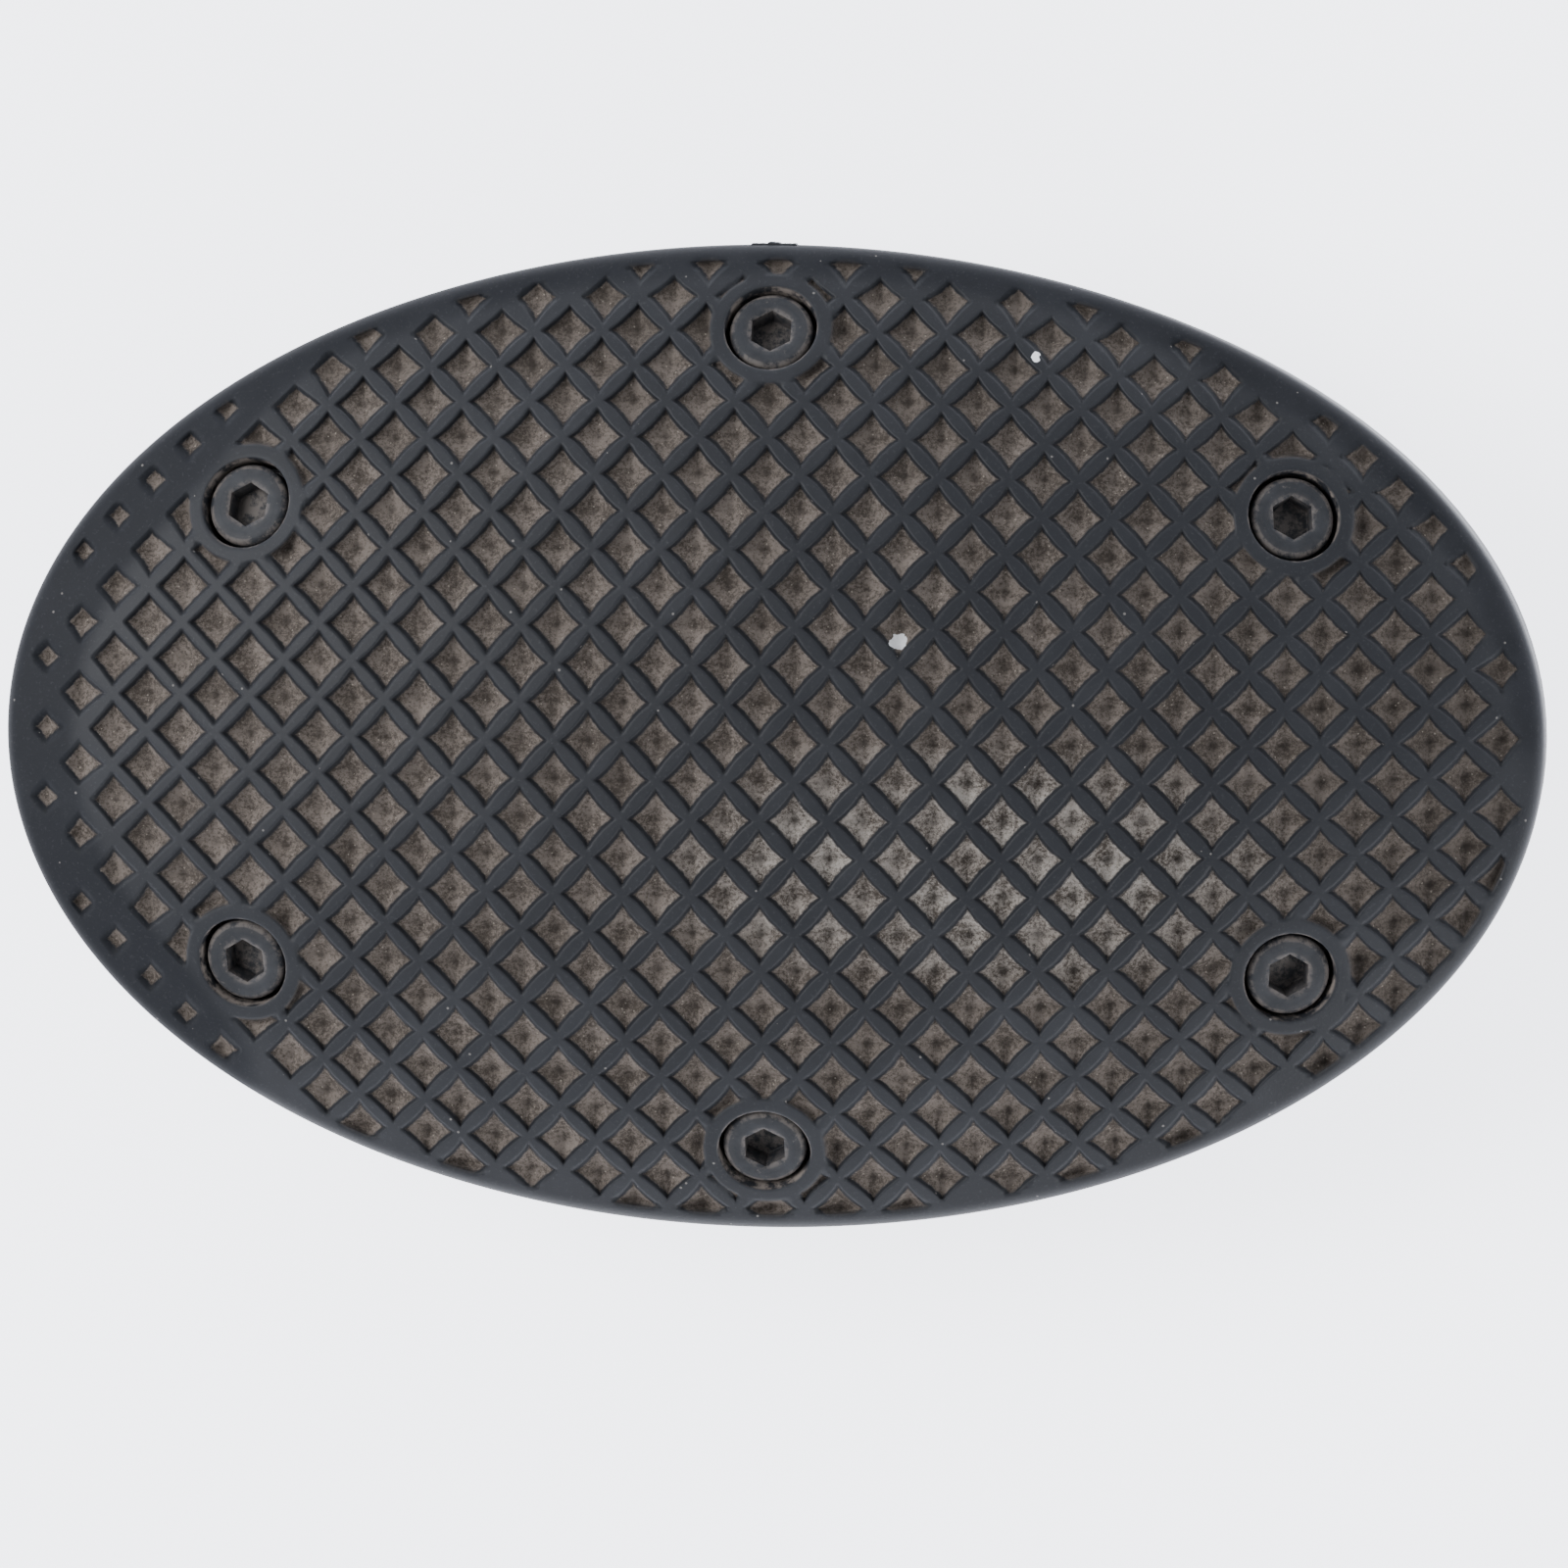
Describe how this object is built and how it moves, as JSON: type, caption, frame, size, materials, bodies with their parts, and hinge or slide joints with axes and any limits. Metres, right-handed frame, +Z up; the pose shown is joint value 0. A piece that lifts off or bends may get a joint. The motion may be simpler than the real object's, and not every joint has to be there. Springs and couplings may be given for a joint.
{
  "type": "sewing machine pedal",
  "caption": "Oval domed foot control for a sewing machine: a hinged treadle with a waffle rubber tread on a low base, driving a potentiometer against return springs.",
  "frame": {"origin": "on the floor, under the middle of the treadle", "axes": "+X along the oval's long axis, +Y towards the toe side where the lead leaves, +Z up"},
  "size_m": [0.1569, 0.1003, 0.0415],
  "materials": {
    "tread_rubber": "matt moulded rubber, waffle pattern",
    "shell_plastic": "fine textured moulding",
    "screw_steel": "black oxide",
    "brass": "machined",
    "nylon": "natural nylon",
    "pin_steel": "bright",
    "pot_metal": "pressed",
    "bracket_steel": "zinc plated",
    "cover_plate": "satin powder coat",
    "foot_rubber": "matt rubber",
    "spring_steel": "spring wire",
    "board": "green laminate",
    "capacitor": "sleeved can",
    "resistor": "lacquered",
    "header_plastic": "moulded",
    "jack_plastic": "moulded",
    "jack_metal": "nickel plated",
    "wire_red": "pvc",
    "wire_black": "pvc"
  },
  "bodies": {
    "base": {"hinge_pin": "pin_steel", "hinge_clips": "pin_steel", "pot_body": "pot_metal", "pot_bracket": "bracket_steel", "pot_nut": "pin_steel", "bracket_screws": "pin_steel", "base_shell": "shell_plastic", "bottom_cover": "cover_plate", "cover_screws": "pin_steel", "foot_pads": "foot_rubber", "left_spring": "spring_steel", "right_spring": "spring_steel", "stop_bumpers": "foot_rubber", "rest_pads": "foot_rubber", "circuit_board": "board", "board_screws": "pin_steel", "board_capacitors": "capacitor", "board_resistors": "resistor", "wire_header": "header_plastic", "jack_socket": "jack_plastic", "jack_nut": "jack_metal", "jack_contacts": "brass", "pot_wires": "wire_red", "jack_wires": "wire_black"},
    "treadle": {"tread_pad": "tread_rubber", "treadle_shell": "shell_plastic", "tread_screws": "screw_steel", "thread_inserts": "brass", "hinge_bushes": "nylon", "sector_gear": "nylon", "sector_screws": "screw_steel"},
    "pot_rotor": {"drive_pinion": "nylon", "pot_shaft": "pin_steel"}
  },
  "joints": [
    {"name": "treadle_hinge", "type": "hinge", "parent": "base", "child": "treadle", "pos_m": [0, -0.032, 0.014], "axis": [-1, 0, 0], "range_deg": [0, 6], "stiffness_Nm_per_rad": 3.1, "springref_deg": -9.74, "deforming": ["left_spring", "right_spring"]},
    {"name": "pot_spin", "type": "hinge", "parent": "base", "child": "pot_rotor", "pos_m": [0, 0.01273, 0.0115], "axis": [1, 0, 0], "range_deg": [0, 50.5]}
  ],
  "couplings": [
    {"joint": "pot_spin", "follows": "treadle_hinge", "ratio": 8.3333}
  ]
}
